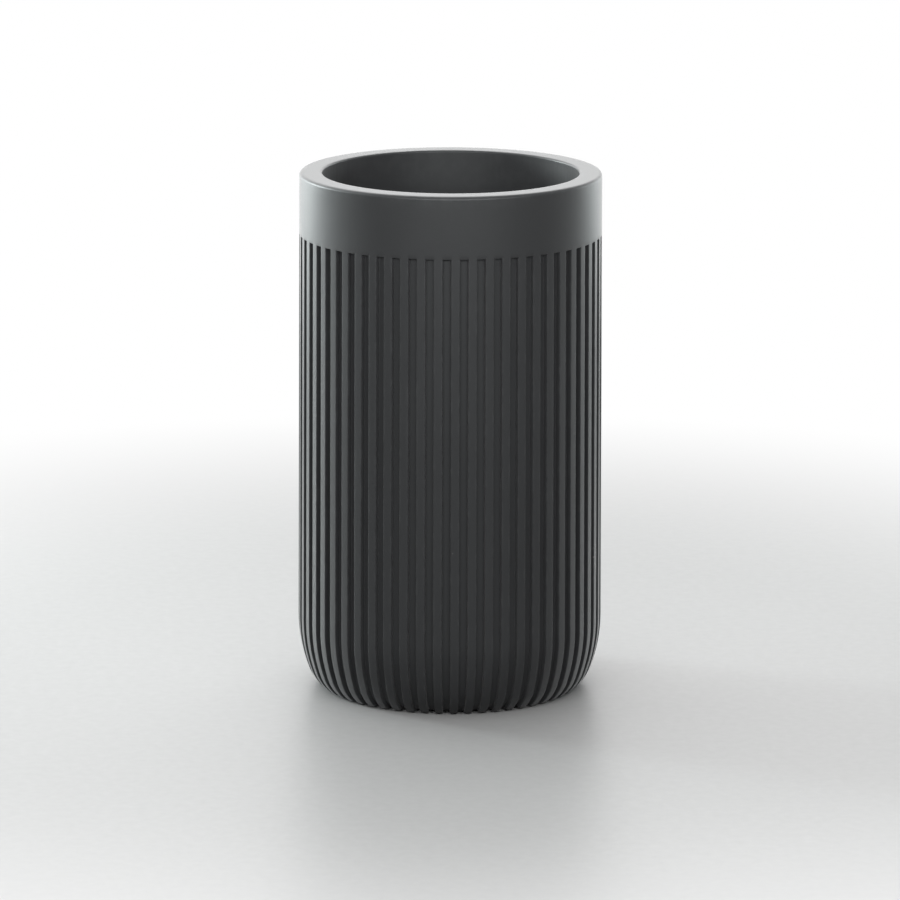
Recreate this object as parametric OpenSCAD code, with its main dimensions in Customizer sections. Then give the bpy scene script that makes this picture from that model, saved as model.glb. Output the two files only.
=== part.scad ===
// Bathroom tumbler: one cast vessel with a fluted wall, a plain band below a thick flat rim,
// and a non-slip pad that a film of adhesive holds in the vessel's base.
// The origin is the centre of the surface that the tumbler stands on. Z points up.

/* [Body] */
// Height from the surface that it stands on to the rim
height = 120; // [100:1:140]
// Largest outer radius, where the wall meets the rounded bottom corner
body_r = 35; // [32:0.5:40]
// Angle at which the outer wall leans in towards the rim, in degrees
wall_lean = 0.3; // [0:0.1:1]
// Thickness of the wall at the rim
wall_t = 5.2; // [4:0.1:7]
// Thickness of the floor, from the base face to the inside
floor_t = 6; // [5:0.5:12]
// Radius between the inner wall and the floor
inner_corner_r = 8; // [3:0.5:12]

/* [Rim] */
// Radius of the rim's outer edge
rim_outer_r = 0.8; // [0.4:0.1:1.5]
// Radius of the rim's inner edge
rim_inner_r = 0.5; // [0.2:0.1:1]

/* [Bottom corner] */
// Radius of the long arc that the wall runs into
corner_r = 35; // [25:1:45]
// Angle that the long arc turns through below its widest point, in degrees
corner_turn = 20; // [12:1:28]
// Radius of the short arc below the long one
foot_r = 10; // [9:0.5:13]
// Angle at which the base face cuts the short arc, in degrees below its widest point
foot_turn = 52; // [44:1:58]

/* [Flutes] */
// Number of flutes round the wall
flute_count = 56; // [40:1:64]
// Share of each pitch that the flute takes, the rib having the rest
flute_share = 0.48; // [0.3:0.02:0.6]
// Depth of a flute below the ribs
flute_depth = 1.2; // [0.6:0.1:1.6]
// Height of the plain band between the rim and the top of the flutes
band_h = 14.2; // [8:0.2:24]

/* [Base pad] */
// Radius of the pad
pad_r = 24; // [15:0.5:25]
// Thickness of the pad
pad_t = 1.2; // [0.8:0.1:2.5]
// Thickness of the adhesive film between the pad and the vessel
film_t = 0.2; // [0.1:0.05:0.4]
// How far the pad stands below the vessel's base face
pad_proud = 0.4; // [0.2:0.1:0.7]
// Gap round the pad in its recess
pad_gap = 0.4; // [0.2:0.1:1]
// Least width of the foot round the recess, which the flutes leave whole
land_w = 2.5; // [1.5:0.1:3]

/* [Hidden] */
$fn = 180;

// How far a cutting shape runs past the surface that it opens
overrun = 2;

// Heights of the vessel's base face, of the ceiling of the pad's recess and of the inner floor
base_z = pad_proud;
recess_z = pad_t + film_t;
floor_z = base_z + floor_t;

// Radii of the pad's recess and of the foot that it needs round it
recess_r = pad_r + pad_gap;
land_r = recess_r + land_w;

// Centres of the short and the long arc of the bottom corner. The arcs share a tangent where they meet.
foot_x = body_r - corner_r + (corner_r - foot_r) * cos(corner_turn);
foot_c = [foot_x, base_z + foot_r * sin(foot_turn)];
corner_c = [body_r - corner_r, foot_c[1] + (corner_r - foot_r) * sin(corner_turn)];

// Centre of the rim's outer edge, placed so that the leaning wall is tangent to that edge and to the long arc
rim_z = height - rim_outer_r;
wall_rise = rim_z - corner_c[1];
rim_x = corner_c[0] + (corner_r - rim_outer_r - wall_rise * sin(wall_lean)) / cos(wall_lean);
rim_c = [rim_x, rim_z];

// Radius of the inside, and the centres of the rim's inner edge and of the inner corner
inner_r = rim_x + rim_outer_r - wall_t;
lip_c = [inner_r + rim_inner_r, height - rim_inner_r];
inner_c = [inner_r - inner_corner_r, floor_z + inner_corner_r];

// Angle from one flute to the next, and the angle that one flute takes
pitch_angle = 360 / flute_count;
flute_angle = pitch_angle * flute_share;

// The point of an arc at an angle above its widest point
function on_arc(centre, r, angle) = centre + r * [cos(angle), sin(angle)];

// The outer outline moved in by a depth: from the axis along the bottom, round the corner and up the wall.
// The short arc ends at the angle last below its widest point.
function outline(depth, last) = [
    [0, foot_c[1] - (foot_r - depth) * sin(last)],
    on_arc(foot_c, foot_r - depth, -last),
    on_arc(foot_c, foot_r - depth, -corner_turn),
    on_arc(corner_c, corner_r - depth, wall_lean),
    on_arc(rim_c, rim_outer_r - depth, wall_lean)
];

// The part of a disc beyond the chord between two of its points, with a strip on the near side of the chord
module arc_cap(centre, r, from, to) {
    start = on_arc(centre, r, from);
    end = on_arc(centre, r, to);
    rise = r * (1 - cos((to - from) / 2));
    out = [cos((from + to) / 2), sin((from + to) / 2)];
    intersection() {
        translate(centre) circle(r);
        polygon([start - rise * out, end - rise * out, end + 2 * rise * out, start + 2 * rise * out]);
    }
}

// The round stretches of the outer outline, moved in by a depth
module outline_caps(depth, last) {
    arc_cap(foot_c, foot_r - depth, -last, -corner_turn);
    arc_cap(corner_c, corner_r - depth, -corner_turn, wall_lean);
}

// The foot that the pad's recess needs, up to the inner floor. It lies inside the bottom corner unless the pad
// is large.
module land_section(bottom) {
    translate([0, bottom]) square([land_r, floor_z - bottom]);
}

// Half of the vessel's cross section, before the flutes
module vessel_section() {
    difference() {
        union() {
            polygon(concat(outline(0, foot_turn), [
                [rim_x, height],
                [lip_c[0], height],
                [inner_r, lip_c[1]],
                [inner_r, inner_c[1]],
                [inner_c[0], floor_z],
                [0, floor_z]
            ]));
            outline_caps(0, foot_turn);
            land_section(base_z);
            arc_cap(rim_c, rim_outer_r, wall_lean, 90);
            arc_cap(lip_c, rim_inner_r, 90, 180);
        }
        arc_cap(inner_c, inner_corner_r, -90, 0);
        translate([0, base_z - overrun]) square([recess_r, recess_z - base_z + overrun]);
    }
}

// What one flute takes away, below the band: all that lies outside both the outline moved in by the flute's
// depth and the foot that the recess needs
module flute_section() {
    difference() {
        translate([foot_x, base_z - overrun])
            square([body_r + overrun - foot_x, height - band_h - base_z + overrun]);
        polygon(concat(outline(flute_depth, 90), [[0, height]]));
        outline_caps(flute_depth, 90);
        land_section(base_z - 2 * overrun);
    }
}

// The cast vessel. Ribs lie on both horizontal axes.
module vessel() {
    color("#46484b")
    difference() {
        rotate_extrude() vessel_section();
        for (i = [0 : flute_count - 1])
            rotate([0, 0, (i + 0.5) * pitch_angle - flute_angle / 2])
                rotate_extrude(angle = flute_angle) flute_section();
    }
}

// The film of adhesive between the pad and the vessel
module pad_film() {
    color("#d8d4c8") translate([0, 0, pad_t]) cylinder(h = film_t, r = pad_r);
}

// The non-slip pad that the tumbler stands on
module base_pad() {
    color("#1e1f20") cylinder(h = pad_t, r = pad_r);
}

vessel();
pad_film();
base_pad();
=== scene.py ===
"""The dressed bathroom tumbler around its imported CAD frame. Metres, in the frame of the CAD part."""

import functools
import math

import bmesh
import bpy
from mathutils import Matrix, Vector


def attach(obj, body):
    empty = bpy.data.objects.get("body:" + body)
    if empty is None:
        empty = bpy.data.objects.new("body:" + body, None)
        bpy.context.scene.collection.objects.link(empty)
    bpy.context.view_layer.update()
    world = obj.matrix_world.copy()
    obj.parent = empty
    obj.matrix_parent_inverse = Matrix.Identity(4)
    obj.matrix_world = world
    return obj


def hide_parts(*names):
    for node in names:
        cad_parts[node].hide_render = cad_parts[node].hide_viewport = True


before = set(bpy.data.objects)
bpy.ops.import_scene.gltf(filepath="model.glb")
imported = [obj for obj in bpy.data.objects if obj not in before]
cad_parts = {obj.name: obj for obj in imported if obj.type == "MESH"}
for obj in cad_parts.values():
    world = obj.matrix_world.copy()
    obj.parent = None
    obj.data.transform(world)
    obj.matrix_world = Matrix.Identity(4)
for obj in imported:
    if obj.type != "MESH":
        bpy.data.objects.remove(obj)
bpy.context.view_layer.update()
MM = 0.001
QUARTER = math.pi / 2

# Sizes, as named in part.scad
HEIGHT = 120 * MM
BODY_R = 35 * MM
WALL_LEAN = math.radians(0.3)
WALL_T = 5.2 * MM
FLOOR_T = 6 * MM
INNER_CORNER_R = 8 * MM
RIM_OUTER_R = 0.8 * MM
RIM_INNER_R = 0.5 * MM
CORNER_R = 35 * MM
CORNER_TURN = math.radians(20)
FOOT_R = 10 * MM
FOOT_TURN = math.radians(52)
FLUTE_COUNT = 56
FLUTE_SHARE = 0.48
FLUTE_DEPTH = 1.2 * MM
BAND_H = 14.2 * MM
PAD_R = 24 * MM
PAD_T = 1.2 * MM
FILM_T = 0.2 * MM
PAD_PROUD = 0.4 * MM
PAD_GAP = 0.4 * MM

# The same derived places as in part.scad
BASE_Z = PAD_PROUD
RECESS_Z = PAD_T + FILM_T
FLOOR_Z = BASE_Z + FLOOR_T
RECESS_R = PAD_R + PAD_GAP
FOOT_X = BODY_R - CORNER_R + (CORNER_R - FOOT_R) * math.cos(CORNER_TURN)
FOOT_Z = BASE_Z + FOOT_R * math.sin(FOOT_TURN)
CORNER_X = BODY_R - CORNER_R
CORNER_Z = FOOT_Z + (CORNER_R - FOOT_R) * math.sin(CORNER_TURN)
RIM_Z = HEIGHT - RIM_OUTER_R
RIM_X = CORNER_X + (CORNER_R - RIM_OUTER_R - (RIM_Z - CORNER_Z) * math.sin(WALL_LEAN)) / math.cos(WALL_LEAN)
INNER_R = RIM_X + RIM_OUTER_R - WALL_T
FLUTE_TOP = HEIGHT - BAND_H
PITCH = 2 * math.pi / FLUTE_COUNT
RIB_HALF = PITCH * (1 - FLUTE_SHARE) / 2
MIDDLE = Vector((0, 0, HEIGHT / 2))

# Radii that the coat of paint gives the ribs' edges, the foot of a flute's side, the base edge and the
# recess's edge
CREST_SOFT = 0.16 * MM
VALLEY_SOFT = 0.14 * MM
BASE_SOFT = 0.35 * MM
RECESS_SOFT = 0.2 * MM

# Rings that keep the flat stretches flat: heights on the band, and radii on the rim's top, on the base
# face, on the recess's ceiling and in the middle of the inner floor
BAND_RINGS = (FLUTE_TOP + 1.2 * MM, HEIGHT - 3.2 * MM)
RIM_OUTER_RING = RIM_X - 0.7 * MM
RIM_INNER_RING = INNER_R + RIM_INNER_R + 0.9 * MM
LAND_RING = RECESS_R + 1.6 * MM
LAND_INNER_RING = RECESS_R + RECESS_SOFT + 0.3 * MM
CEILING_RINGS = (RECESS_R - 1.2 * MM, 4 * MM)
FLOOR_RING = 1 * MM

# On the base face a rib's own points take up this share of the half rib, and a flute's begin at this
# share of the half flute
LAND_RIB_SHARE = 0.6
LAND_FLUTE_START = 0.1

# The rings of the inside and the recess have one point for this many of the outside's
COARSE_STEP = 4

# How far the rim's edges are rubbed, against 1 for the ribs' edges
RIM_WEAR = 0.6

# Points nearer to each other than this are one point
MERGE = 1e-7


def spread(a, b, steps):
    """The values from a to b in even steps, with both ends."""
    return [a + (b - a) * i / steps for i in range(steps + 1)]


def full_turn(count):
    """As many angles, evenly once round."""
    return spread(0, 2 * math.pi, count)[:-1]


def arc(cx, cz, r, a0, a1, steps):
    """The points (radius, height) of an arc in even steps, with both ends."""
    return [(cx + r * math.cos(a), cz + r * math.sin(a)) for a in spread(a0, a1, steps)]


def add_object(name, data):
    """A new object in the scene."""
    obj = bpy.data.objects.new(name, data)
    bpy.context.scene.collection.objects.link(obj)
    return obj


class Surface:
    """Rings of points, each (x, y, z, wear), joined into a mesh."""

    def __init__(self):
        self.points = []
        self.faces = []

    def add(self, ring):
        """Adds a ring, and gives the numbers of its points."""
        start = len(self.points)
        self.points += ring
        return range(start, start + len(ring))

    def join_all(self, rings):
        """Quads between each ring and the next, all with as many points."""
        for a, b in zip(rings, rings[1:]):
            n = len(a)
            self.faces += [(a[i], a[(i + 1) % n], b[(i + 1) % n], b[i]) for i in range(n)]

    def fan_out(self, fine, coarse):
        """Joins a fine ring to a coarse one, several fine edges to each coarse edge."""
        n = len(fine)
        m = len(coarse)
        step = n // m
        for j in range(m):
            fine_points = [fine[(j * step + i) % n] for i in range(step + 1)]
            self.faces.append((*fine_points, coarse[(j + 1) % m], coarse[j]))

    def cap(self, ring, z):
        """Closes a ring with a fan round a point on the axis."""
        middle = self.add([(0.0, 0.0, z, 0.0)])[0]
        n = len(ring)
        self.faces += [(ring[i], ring[(i + 1) % n], middle) for i in range(n)]

    def build(self, name):
        """Makes the object, with the points' wear as an attribute of its mesh."""
        mesh = bpy.data.meshes.new(name)
        mesh.from_pydata([point[:3] for point in self.points], [], self.faces)
        wear = mesh.attributes.new("wear", "FLOAT", "POINT")
        wear.data.foreach_set("value", [point[3] for point in self.points])
        return add_object(name, mesh)


def clean(obj):
    """Merges the points that coincide, makes the normals point out and shades the surface smooth."""
    mesh = bmesh.new()
    mesh.from_mesh(obj.data)
    bmesh.ops.remove_doubles(mesh, verts=mesh.verts, dist=MERGE)
    bmesh.ops.dissolve_degenerate(mesh, edges=mesh.edges, dist=MERGE)
    bmesh.ops.recalc_face_normals(mesh, faces=mesh.faces)
    mesh.to_mesh(obj.data)
    mesh.free()
    obj.data.polygons.foreach_set("use_smooth", [True] * len(obj.data.polygons))
    weighted = obj.modifiers.new("weighted_normals", "WEIGHTED_NORMAL")
    weighted.weight = 100
    weighted.keep_sharp = True


# The vessel's surface

# One path serves both across a flute and up to its square top end: how far past the flute's edge a point
# lies, and how deep. It rounds the crest, drops down the side and rounds into the floor of the flute.
EDGE_PATH = [
    (-CREST_SOFT * (1 - math.sin(a)), CREST_SOFT * (1 - math.cos(a)))
    for a in spread(0, QUARTER, 4)
]
EDGE_PATH += [
    (VALLEY_SOFT * (1 - math.cos(a)), FLUTE_DEPTH - VALLEY_SOFT * (1 - math.sin(a)))
    for a in spread(0, QUARTER, 3)
]

# Half a pitch, from the middle of a rib to the middle of a flute: what a point lies on, its place and its
# depth. The place is a share of the way along a half rib or half flute, or the distance past the edge
# between them.
RIB_STOPS = (0.0, 0.5)
FLUTE_STOPS = (0.5, 1.0)
CROSS_PATH = [("rib", share, 0.0) for share in RIB_STOPS]
CROSS_PATH += [("edge", past, depth) for past, depth in EDGE_PATH]
CROSS_PATH += [("flute", share, FLUTE_DEPTH) for share in FLUTE_STOPS]


@functools.cache
def outer_line(depth):
    """The outline from the base face up to where the straight wall begins, moved in by a depth. Its
    points are (radius, height), and their number doesn't depend on the depth."""
    reach = FOOT_R - depth - BASE_SOFT
    drop = FOOT_Z - BASE_Z - BASE_SOFT
    last = math.asin(drop / reach)
    line = arc(FOOT_X + reach * math.cos(last), BASE_Z + BASE_SOFT, BASE_SOFT, -QUARTER, -last, 4)
    line += arc(FOOT_X, FOOT_Z, FOOT_R - depth, -last, -CORNER_TURN, 10)[1:]
    line += arc(CORNER_X, CORNER_Z, CORNER_R - depth, -CORNER_TURN, WALL_LEAN, 8)[1:]
    return line


def wall_point(z, depth):
    """The point of the straight wall at a height, moved in by a depth."""
    x = CORNER_X + (CORNER_R - (z - CORNER_Z) * math.sin(WALL_LEAN)) / math.cos(WALL_LEAN)
    return x - depth * math.cos(WALL_LEAN), z - depth * math.sin(WALL_LEAN)


def on_outline(i):
    """Point i of the outline, as a function of the depth."""
    return lambda depth: outer_line(depth)[i]


def on_wall(z):
    """The straight wall's point at a height, as a function of the depth."""
    return lambda depth: wall_point(z, depth)


def on_rim(point):
    """A point of the rim, as a function of the depth. There are no flutes, so it is the same for all."""
    return lambda depth: point


def wall_angle(i, radius):
    """The angle of point i of the cross path from the rib's middle, where the ribs have this radius."""
    kind, place, _ = CROSS_PATH[i]
    if kind == "rib":
        return (RIB_HALF - CREST_SOFT / radius) * place
    if kind == "edge":
        return RIB_HALF + place / radius
    start = RIB_HALF + VALLEY_SOFT / radius
    return start + (PITCH / 2 - start) * place


def land_angle(i):
    """The same on the base face, where there is no flute and the points are spread more evenly."""
    kind, place, _ = CROSS_PATH[i]
    if kind == "rib":
        return RIB_HALF * LAND_RIB_SHARE * place
    if kind == "flute":
        return RIB_HALF + (PITCH / 2 - RIB_HALF) * (LAND_FLUTE_START + (1 - LAND_FLUTE_START) * place)
    along = (i - len(RIB_STOPS)) / (len(EDGE_PATH) - 1)
    return RIB_HALF * (LAND_RIB_SHARE + (1 - LAND_RIB_SHARE) * along)


def all_round(angle_at):
    """Once round the vessel, gives each point's angle and its number on the cross path. The path runs
    forward over the first half of each pitch and back over the second."""
    last = len(CROSS_PATH) - 1
    for k in range(FLUTE_COUNT):
        for i in range(last):
            yield PITCH * k + angle_at(i), i
        for i in range(last, 0, -1):
            yield PITCH * (k + 1) - angle_at(i), i


def fluted_ring(line_at, depth_limit, wear):
    """A ring round the vessel. line_at(depth) gives (radius, height), and depth_limit stops the flutes."""
    rib_radius = line_at(0.0)[0]
    ring = []
    for turn, i in all_round(lambda i: wall_angle(i, rib_radius)):
        kind, _, depth = CROSS_PATH[i]
        radius, z = line_at(min(depth, depth_limit))
        rubbed = kind == "edge" and depth <= CREST_SOFT and depth_limit > 0
        ring.append((radius * math.cos(turn), radius * math.sin(turn), z, 1.0 if rubbed else wear))
    return ring


def round_ring(radius, z, wear, angles):
    """A plain ring with points at these angles."""
    return [(radius * math.cos(a), radius * math.sin(a), z, wear) for a in angles]


def coarse_angles(ring):
    """The angles of every few points of a ring."""
    return [math.atan2(point[1], point[0]) for point in ring[::COARSE_STEP]]


def add_outside(surface):
    """The outside, from the base edge up the fluted wall and the band to the rim's top. Gives its rings."""
    lines = [(on_outline(i), FLUTE_DEPTH, 0.0) for i in range(len(outer_line(0.0)))]
    lines += [(on_wall(z), FLUTE_DEPTH, 0.0) for z in spread(CORNER_Z, FLUTE_TOP - VALLEY_SOFT, 4)[1:-1]]
    lines += [(on_wall(FLUTE_TOP - past), depth, 0.0) for past, depth in reversed(EDGE_PATH)]
    lines += [(on_wall(z), 0.0, 0.0) for z in BAND_RINGS]
    rim_edge = arc(RIM_X, RIM_Z, RIM_OUTER_R, WALL_LEAN, QUARTER, 7)
    lines += [(on_rim(point), 0.0, RIM_WEAR) for point in rim_edge]
    lines.append((on_rim((RIM_OUTER_RING, HEIGHT)), 0.0, 0.0))
    rings = [surface.add(fluted_ring(*line)) for line in lines]
    surface.join_all(rings)
    return rings


def add_inside(surface, rim):
    """The inside, from the rim's top down to the floor, joined to the ring on the rim."""
    lip_x = INNER_R + RIM_INNER_R
    corner_x = INNER_R - INNER_CORNER_R
    corner_z = FLOOR_Z + INNER_CORNER_R
    lip = arc(lip_x, HEIGHT - RIM_INNER_R, RIM_INNER_R, QUARTER, math.pi, 5)
    corner = arc(corner_x, corner_z, INNER_CORNER_R, 0, -QUARTER, 14)
    line = [(RIM_INNER_RING, HEIGHT, 0.0), (lip_x, HEIGHT, RIM_WEAR)]
    line += [(x, z, RIM_WEAR) for x, z in lip[1:]]
    line += [(INNER_R, z, 0.0) for z in spread(HEIGHT - RIM_INNER_R, corner_z, 6)[1:]]
    line += [(x, z, 0.0) for x, z in corner[1:]]
    line += [(r, FLOOR_Z, 0.0) for r in spread(corner_x, FLOOR_RING, 5)[1:]]
    angles = coarse_angles(fluted_ring(on_wall(HEIGHT), 0.0, 0.0))
    rings = [surface.add(round_ring(r, z, wear, angles)) for r, z, wear in line]
    surface.fan_out(rim, rings[0])
    surface.join_all(rings)
    surface.cap(rings[-1], FLOOR_Z)


def add_underside(surface, base_edge):
    """The base face and the pad's recess, joined to the ring at the base edge."""
    land = [
        (LAND_RING * math.cos(turn), LAND_RING * math.sin(turn), BASE_Z, 0.0)
        for turn, _ in all_round(land_angle)
    ]
    land_ring = surface.add(land)
    surface.join_all([land_ring, base_edge])
    line = [(LAND_INNER_RING, BASE_Z)]
    line += arc(RECESS_R + RECESS_SOFT, BASE_Z + RECESS_SOFT, RECESS_SOFT, -QUARTER, -math.pi, 4)
    line += [(r, RECESS_Z) for r in (RECESS_R, *CEILING_RINGS)]
    angles = coarse_angles(land)
    rings = [surface.add(round_ring(r, z, 0.0, angles)) for r, z in line]
    surface.fan_out(land_ring, rings[0])
    surface.join_all(rings)
    surface.cap(rings[-1], RECESS_Z)


def make_vessel():
    """The cast vessel, with its edges softened by the coat of paint."""
    surface = Surface()
    rings = add_outside(surface)
    add_inside(surface, rings[-1])
    add_underside(surface, rings[0])
    vessel = surface.build("vessel_cast")
    clean(vessel)
    return vessel


# The pad: how many points go once round it, and the radii of the rings on its flat faces and beside its
# upper edge
PAD_SIDES = 180
PAD_FLAT_RINGS = (6 * MM, 15 * MM)
PAD_TOP_RING = PAD_R - 1 * MM

# How far in the rubbing on its underside reaches, and how far the underside and the cut side are rubbed
PAD_RUB = 2 * MM
PAD_RUB_WEAR = 0.3
PAD_SIDE_WEAR = 0.4

# The radius of its worn lower edge, how hollow its cut side is, and the heights of the points there
PAD_WORN = 0.22 * MM
PAD_HOLLOW = 0.06 * MM
PAD_SIDE_SHARES = (0.25, 0.5, 0.75)


def make_pad():
    """The die-cut foam pad, its cut side slightly hollow and its lower edge worn round."""
    surface = Surface()
    line = [(r, 0.0, 0.0) for r in PAD_FLAT_RINGS]
    line.append((PAD_R - PAD_RUB, 0.0, PAD_RUB_WEAR))
    line += [(x, z, 1.0) for x, z in arc(PAD_R - PAD_WORN, PAD_WORN, PAD_WORN, -QUARTER, 0, 5)]
    for share in PAD_SIDE_SHARES:
        x = PAD_R - PAD_HOLLOW * math.sin(math.pi * share)
        line.append((x, PAD_WORN + (PAD_T - PAD_WORN) * share, PAD_SIDE_WEAR))
    line += [(r, PAD_T, 0.0) for r in (PAD_R, PAD_TOP_RING, PAD_FLAT_RINGS[0])]
    rings = [surface.add(round_ring(r, z, wear, full_turn(PAD_SIDES))) for r, z, wear in line]
    surface.join_all(rings)
    surface.cap(rings[0], 0.0)
    surface.cap(rings[-1], PAD_T)
    pad = surface.build("base_pad_foam")
    clean(pad)
    return pad


# Nodes that the materials are made of


def new_material(name):
    """A material and its empty node tree."""
    material = bpy.data.materials.new(name)
    material.use_nodes = True
    tree = material.node_tree
    tree.nodes.clear()
    return material, tree


def set_inputs(node, values):
    """Sets sockets of a node to constants, by their names."""
    for name, value in values.items():
        node.inputs[name].default_value = value


def math_node(tree, operation, a, b):
    """An operation on a value, and on another value or a number."""
    node = tree.nodes.new("ShaderNodeMath")
    node.operation = operation
    tree.links.new(a, node.inputs[0])
    if isinstance(b, float):
        node.inputs[1].default_value = b
    else:
        tree.links.new(b, node.inputs[1])
    return node.outputs[0]


def vector_math(tree, operation, a, b=None):
    """An operation on a vector, and on three numbers where it needs them. LENGTH and DISTANCE give a
    value."""
    node = tree.nodes.new("ShaderNodeVectorMath")
    node.operation = operation
    tree.links.new(a, node.inputs[0])
    if b is not None:
        node.inputs[1].default_value = b
    return node.outputs["Value" if operation in ("LENGTH", "DISTANCE") else "Vector"]


def ramp(tree, value, span, to=(0.0, 1.0)):
    """Maps a value from one span to another, softly at both ends."""
    node = tree.nodes.new("ShaderNodeMapRange")
    node.interpolation_type = "SMOOTHSTEP"
    tree.links.new(value, node.inputs["Value"])
    set_inputs(node, {"From Min": span[0], "From Max": span[1], "To Min": to[0], "To Max": to[1]})
    return node.outputs["Result"]


def noise(tree, where, scale, detail=2.0, roughness=0.5):
    """Cloudy noise, as a value. The scale is how many clouds there are to a metre."""
    node = tree.nodes.new("ShaderNodeTexNoise")
    tree.links.new(where, node.inputs["Vector"])
    set_inputs(node, {"Scale": scale, "Detail": detail, "Roughness": roughness})
    return node.outputs["Fac"]


def cells(tree, where, scale):
    """The distance to the nearest of many scattered points, in cells, of which scale go to a metre."""
    node = tree.nodes.new("ShaderNodeTexVoronoi")
    tree.links.new(where, node.inputs["Vector"])
    set_inputs(node, {"Scale": scale})
    return node.outputs["Distance"]


def object_place(tree):
    """The place of the point that is shaded, in the object's own metres."""
    return tree.nodes.new("ShaderNodeTexCoord").outputs["Object"]


def camera_ray(tree):
    """1 where the camera itself looks, 0 for light that bounces."""
    return tree.nodes.new("ShaderNodeLightPath").outputs["Is Camera Ray"]


def wear_of(tree):
    """The wear that the mesh's points carry."""
    node = tree.nodes.new("ShaderNodeAttribute")
    node.attribute_name = "wear"
    return node.outputs["Fac"]


def mix_colour(tree, factor, a, b):
    """Two colours mixed, each a tuple or the colour of another node."""
    node = tree.nodes.new("ShaderNodeMix")
    node.data_type = "RGBA"
    tree.links.new(factor, node.inputs[0])
    for socket, colour in ((node.inputs[6], a), (node.inputs[7], b)):
        if isinstance(colour, tuple):
            socket.default_value = (*colour, 1.0)
        else:
            tree.links.new(colour, socket)
    return node.outputs[2]


def mix_shaders(tree, factor, a, b):
    """Two shaders mixed."""
    node = tree.nodes.new("ShaderNodeMixShader")
    tree.links.new(factor, node.inputs[0])
    tree.links.new(a.outputs[0], node.inputs[1])
    tree.links.new(b.outputs[0], node.inputs[2])
    return node


def show(tree, shader, output="ShaderNodeOutputMaterial"):
    """Puts a shader on the surface."""
    tree.links.new(shader.outputs[0], tree.nodes.new(output).inputs["Surface"])


def principled(tree):
    """The shader of a piece, on its surface."""
    shader = tree.nodes.new("ShaderNodeBsdfPrincipled")
    show(tree, shader)
    return shader


def bump(tree, shader, height, distance, strength=1.0):
    """Fine relief in the shader's normal."""
    node = tree.nodes.new("ShaderNodeBump")
    tree.links.new(height, node.inputs["Height"])
    set_inputs(node, {"Distance": distance, "Strength": strength})
    tree.links.new(node.outputs[0], shader.inputs["Normal"])


def put_on(obj, material):
    """Gives an object this material alone."""
    obj.data.materials.clear()
    obj.data.materials.append(material)


# The vessel's paint
PAINT_DARK = (0.0460, 0.0470, 0.0492)
PAINT_PALE = (0.0500, 0.0511, 0.0534)
PAINT_GRAIN = (0.0580, 0.0592, 0.0618)
PAINT_RUBBED = (0.078, 0.081, 0.084)
CHIPPED = (0.24, 0.24, 0.235)
PAINT_GLOSS = {
    "IOR": 1.3,
    "Specular Tint": (0.85, 1.0, 1.0, 1.0),
    "Sheen Weight": 0.12,
    "Sheen Roughness": 0.5,
    "Coat Weight": 1.0,
    "Coat Roughness": 0.4,
    "Coat IOR": 1.5,
}

# How much less rough the paint is where it is rubbed, and how high its grain stands
RUBBED_POLISH = 0.12
GRAIN_HEIGHT = 0.006 * MM

# The scuffed rib on the right: its middle, how the distance from there is stretched in each direction,
# the distances between which it fades, and the radii between which the rib's crest begins
SCUFF_AT = (33.0 * MM, -11.4 * MM, 32.5 * MM)
SCUFF_SHAPE = (1.5, 1.5, 0.7)
SCUFF_FADE = (1.2 * MM, 3.6 * MM)
SCUFF_CREST = (BODY_R - 0.45 * MM, BODY_R - 0.2 * MM)


def scuffed_rib(tree, where):
    """How far the paint is chipped: in grains, on the crest of one rib."""
    stretched = vector_math(tree, "MULTIPLY", where, SCUFF_SHAPE)
    middle = [place * stretch for place, stretch in zip(SCUFF_AT, SCUFF_SHAPE)]
    near = ramp(tree, vector_math(tree, "DISTANCE", stretched, middle), SCUFF_FADE, (1.0, 0.0))
    radius = vector_math(tree, "LENGTH", vector_math(tree, "MULTIPLY", where, (1.0, 1.0, 0.0)))
    crest = ramp(tree, radius, SCUFF_CREST)
    chips = ramp(tree, noise(tree, where, 1500, detail=1.0), (0.52, 0.62), (0.0, 0.8))
    return math_node(tree, "MULTIPLY", math_node(tree, "MULTIPLY", near, crest), chips)


def coated_resin():
    """Charcoal soft-touch paint on cast resin: a fine powdery grain, faint clouding, rubbed crests, one
    scuffed rib and a few specks of dust."""
    material, tree = new_material("charcoal_soft_touch")
    shader = principled(tree)
    where = object_place(tree)
    clouds = ramp(tree, noise(tree, where, 45, detail=3.0), (0.35, 0.65))
    grain = noise(tree, where, 2600, detail=3.0, roughness=0.6)
    rubbing = ramp(tree, noise(tree, where, 320), (0.42, 0.68), (0.0, 0.5))
    rubbed = math_node(tree, "MULTIPLY", wear_of(tree), rubbing)
    dust = ramp(tree, cells(tree, where, 90), (0.012, 0.026), (0.5, 0.0))

    colour = mix_colour(tree, clouds, PAINT_DARK, PAINT_PALE)
    colour = mix_colour(tree, ramp(tree, grain, (0.3, 0.7), (0.0, 0.35)), colour, PAINT_GRAIN)
    colour = mix_colour(tree, rubbed, colour, PAINT_RUBBED)
    colour = mix_colour(tree, scuffed_rib(tree, where), colour, CHIPPED)
    colour = mix_colour(tree, dust, colour, CHIPPED)
    tree.links.new(colour, shader.inputs["Base Color"])

    rough = ramp(tree, grain, (0.3, 0.7), (0.46, 0.54))
    rough = math_node(tree, "SUBTRACT", rough, math_node(tree, "MULTIPLY", rubbed, RUBBED_POLISH))
    tree.links.new(rough, shader.inputs["Roughness"])
    set_inputs(shader, PAINT_GLOSS)
    bump(tree, shader, grain, GRAIN_HEIGHT)
    return material


# The pad's foam
FOAM_PORE_SHADE = (0.008, 0.0083, 0.0088)
FOAM_WALL = (0.017, 0.0175, 0.018)
FOAM_RUBBED = (0.05, 0.05, 0.05)
PORE_DEPTH = 0.05 * MM


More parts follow.
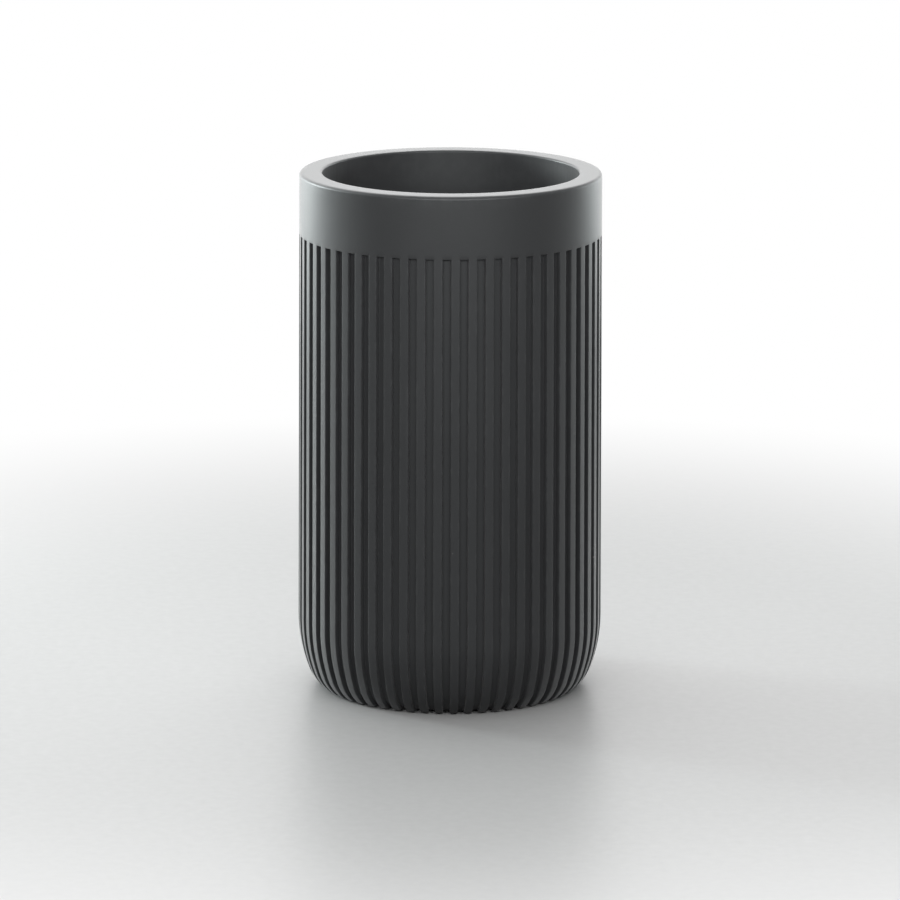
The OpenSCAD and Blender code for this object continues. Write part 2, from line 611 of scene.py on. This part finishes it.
def pad_foam():
    """Closed-cell foam: near black, pored, with painted shade darkening the pores, paler where it has rubbed
    on counters.
    """
    material, tree = new_material("black_foam")
    shader = principled(tree)
    where = object_place(tree)
    pores = cells(tree, where, 1800)
    rubbing = ramp(tree, noise(tree, where, 260, detail=3.0), (0.45, 0.7), (0.0, 0.6))
    rubbed = math_node(tree, "MULTIPLY", wear_of(tree), rubbing)
    # Painted shade: the pores, which are the hollows of the bump, are darker than the cell walls
    colour = mix_colour(tree, ramp(tree, pores, (0.1, 0.6)), FOAM_PORE_SHADE, FOAM_WALL)
    colour = mix_colour(tree, rubbed, colour, FOAM_RUBBED)
    tree.links.new(colour, shader.inputs["Base Color"])
    tree.links.new(ramp(tree, pores, (0.1, 0.6), (0.95, 0.75)), shader.inputs["Roughness"])
    set_inputs(shader, {"IOR": 1.45})
    bump(tree, shader, pores, PORE_DEPTH, strength=0.7)
    return material


# The film of adhesive
FILM_CLEAR = (0.60, 0.57, 0.50)
FILM_CLOUDY = (0.70, 0.67, 0.60)
HAZE_HEIGHT = 0.01 * MM


def adhesive():
    """Cloudy acrylic adhesive, only seen edge on in the gap round the pad."""
    material, tree = new_material("adhesive")
    shader = principled(tree)
    haze = noise(tree, object_place(tree), 900)
    tree.links.new(mix_colour(tree, haze, FILM_CLEAR, FILM_CLOUDY), shader.inputs["Base Color"])
    tree.links.new(ramp(tree, haze, (0.3, 0.7), (0.25, 0.4)), shader.inputs["Roughness"])
    set_inputs(shader, {"IOR": 1.47})
    bump(tree, shader, haze, HAZE_HEIGHT)
    return material


# The pieces
vessel = make_vessel()
put_on(vessel, coated_resin())
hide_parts("vessel")
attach(vessel, "root")

pad = make_pad()
put_on(pad, pad_foam())
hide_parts("base_pad")
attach(pad, "root")

put_on(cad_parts["pad_film"], adhesive())

# The floor: the radii of its rings, its sides, the colours of the counter and of the painted shade
# in front of the part that stands in for its shadow, where that shade begins, and how far from the part the
# counter fades to white
FLOOR_RINGS = (6.0, 2.0, 0.8, 0.3)
FLOOR_SIDES = 96
COUNTER_DARK = (0.48, 0.48, 0.477)
COUNTER_PALE = (0.56, 0.56, 0.557)
# Painted shade: the dark colour that bouncing light finds on the floor in front of the part, for its shadow
PAINTED_SHADE_IN_FRONT = (0.04, 0.04, 0.04)
COUNTER_ROUGHNESS = 0.4
PAINTED_SHADE_EDGE_Y = -0.028
PAINTED_SHADE_EDGE_SOFT = 0.006
FADE = (0.11, 0.3)

WHITE = (1, 1, 1)
PLAIN_WHITE = {"Color": (*WHITE, 1), "Strength": 1.0}


def make_floor():
    """A round floor that the part stands on."""
    surface = Surface()
    rings = [surface.add(round_ring(r, 0.0, 0.0, full_turn(FLOOR_SIDES))) for r in FLOOR_RINGS]
    surface.join_all(rings)
    surface.cap(rings[-1], 0.0)
    floor = surface.build("floor")
    return floor


def floor_material():
    """Pale counter. The camera sees it fade into a white backdrop, and every other ray finds painted shade
    in front of the part: a dark patch that stands in for the part's shadow there and darkens its foot."""
    material, tree = new_material("pale_floor")
    where = object_place(tree)
    seen = camera_ray(tree)
    grain = noise(tree, where, 400, detail=4.0, roughness=0.6)
    pale = mix_colour(tree, grain, COUNTER_DARK, COUNTER_PALE)
    split = tree.nodes.new("ShaderNodeSeparateXYZ")
    tree.links.new(where, split.inputs[0])
    # Painted shade: for bouncing rays the floor turns dark in front of the part, in place of its shadow
    edge = (PAINTED_SHADE_EDGE_Y - PAINTED_SHADE_EDGE_SOFT, PAINTED_SHADE_EDGE_Y + PAINTED_SHADE_EDGE_SOFT)
    lit = mix_colour(tree, ramp(tree, split.outputs["Y"], edge), PAINTED_SHADE_IN_FRONT, pale)
    shader = tree.nodes.new("ShaderNodeBsdfPrincipled")
    tree.links.new(mix_colour(tree, seen, lit, pale), shader.inputs["Base Color"])
    set_inputs(shader, {"Roughness": COUNTER_ROUGHNESS})
    white = tree.nodes.new("ShaderNodeEmission")
    set_inputs(white, PLAIN_WHITE)
    fade = ramp(tree, vector_math(tree, "LENGTH", where), FADE)
    show(tree, mix_shaders(tree, math_node(tree, "MULTIPLY", fade, seen), shader, white))
    return material


# How bright the room is, all round
ROOM_LIGHT = 0.345


def make_world():
    """White for the camera, and the even light of the room for every other ray."""
    world = bpy.data.worlds.new("studio")
    world.use_nodes = True
    tree = world.node_tree
    tree.nodes.clear()
    light = tree.nodes.new("ShaderNodeBackground")
    set_inputs(light, {"Color": (*WHITE, 1), "Strength": ROOM_LIGHT})
    white = tree.nodes.new("ShaderNodeBackground")
    set_inputs(white, PLAIN_WHITE)
    show(tree, mix_shaders(tree, camera_ray(tree), light, white), "ShaderNodeOutputWorld")
    bpy.context.scene.world = world


# The window behind the part: how far back it is, how far its bars and its outer edges are from the
# middle, where the pane above ends on the left, and the heights of the lower panes and of the one above
WINDOW_Y = 0.27
BAR_X = 0.22
WINDOW_EDGE_X = 0.6
UPPER_LEFT_X = -0.38
LOWER_Z = (0.035, 0.22)
UPPER_Z = (0.22, 0.8)
COOL = (0.93, 1.0, 1.0)


def area_lamp(name, place, faces, size, brightness, colour):
    """A soft lamp at a place, which faces a point. Brightness is what a white card that fills the lamp would
    show."""
    data = bpy.data.lights.new(name, "AREA")
    data.shape = "RECTANGLE"
    data.size, data.size_y = size
    data.energy = brightness * size[0] * size[1] * math.pi
    data.color = colour
    obj = add_object(name, data)
    obj.location = place
    obj.rotation_mode = "QUATERNION"
    obj.rotation_quaternion = (Vector(place) - Vector(faces)).to_track_quat("Z", "Y")
    obj.visible_camera = False


def lamp(name, azimuth, elevation, distance, size, brightness, colour=WHITE):
    """A lamp that faces the middle of the part. Azimuth 0 is straight behind it, and turns to the left."""
    a = math.radians(azimuth)
    e = math.radians(elevation)
    direction = Vector((-math.sin(a) * math.cos(e), math.cos(a) * math.cos(e), math.sin(e)))
    area_lamp(name, MIDDLE + direction * distance, MIDDLE, size, brightness, colour)


def window_pane(name, x, z, brightness, colour=WHITE):
    """A pane of the bright window behind the part, from x[0] to x[1] and z[0] to z[1]."""
    middle = ((x[0] + x[1]) / 2, WINDOW_Y, (z[0] + z[1]) / 2)
    in_front = (middle[0], 0, middle[2])
    area_lamp(name, middle, in_front, (x[1] - x[0], z[1] - z[0]), brightness, colour)


put_on(make_floor(), floor_material())
make_world()

# Each pane's name, its ends from left to right and from low to high, its brightness and its colour
window_pane("window_left", (-WINDOW_EDGE_X, -BAR_X), LOWER_Z, 4.5, COOL)
window_pane("window_middle", (-BAR_X, BAR_X), LOWER_Z, 1.48)
window_pane("window_right", (BAR_X, WINDOW_EDGE_X), LOWER_Z, 2.82, COOL)
window_pane("window_top", (UPPER_LEFT_X, BAR_X), UPPER_Z, 1.57)

# Each lamp's name, azimuth, elevation, distance, size, brightness and colour
lamp("window_glare", 62, 15, 0.6, (0.1, 0.1), 38, COOL)
lamp("fill_left", 80, 25, 1.0, (0.8, 0.5), 1.06, COOL)
lamp("fill_front", 180, 27, 0.28, (0.36, 0.08), 3.95)
lamp("fill_top", 0, 90, 0.6, (0.15, 0.15), 3.4)

# The camera, as it was fitted to the photograph: its distance from the middle of the part, its angles
# above the level, round from the front and about its own axis, its focal length, and how far beside the
# picture's middle it aims
CAMERA_DISTANCE = 1231.1 * MM
CAMERA_ELEVATION = 0.2152
CAMERA_AZIMUTH = math.radians(-1.863)
CAMERA_ROLL = 0.0026
FOCAL_PIXELS = 5352.7
AIM_PIXELS = (0.15, -21.19)
FRAME_PIXELS = 900
SENSOR = 36.0

camera_data = bpy.data.cameras.new("camera")
camera = add_object("camera", camera_data)
camera_data.sensor_width = SENSOR
camera_data.lens = FOCAL_PIXELS * SENSOR / FRAME_PIXELS
camera_data.clip_start = 0.05
camera_data.clip_end = 20.0
back = Vector(
    (
        math.sin(CAMERA_AZIMUTH) * math.cos(CAMERA_ELEVATION),
        -math.cos(CAMERA_AZIMUTH) * math.cos(CAMERA_ELEVATION),
        math.sin(CAMERA_ELEVATION),
    )
)
turn = back.to_track_quat("Z", "Y").to_matrix()
turn = turn @ Matrix.Rotation(CAMERA_ROLL, 3, "Z")
turn = turn @ Matrix.Rotation(math.atan(AIM_PIXELS[0] / FOCAL_PIXELS), 3, "Y")
turn = turn @ Matrix.Rotation(math.atan(AIM_PIXELS[1] / FOCAL_PIXELS), 3, "X")
camera.matrix_world = Matrix.Translation(MIDDLE + back * CAMERA_DISTANCE) @ turn.to_4x4()
bpy.context.scene.camera = camera
bpy.context.scene.view_settings.view_transform = "Standard"
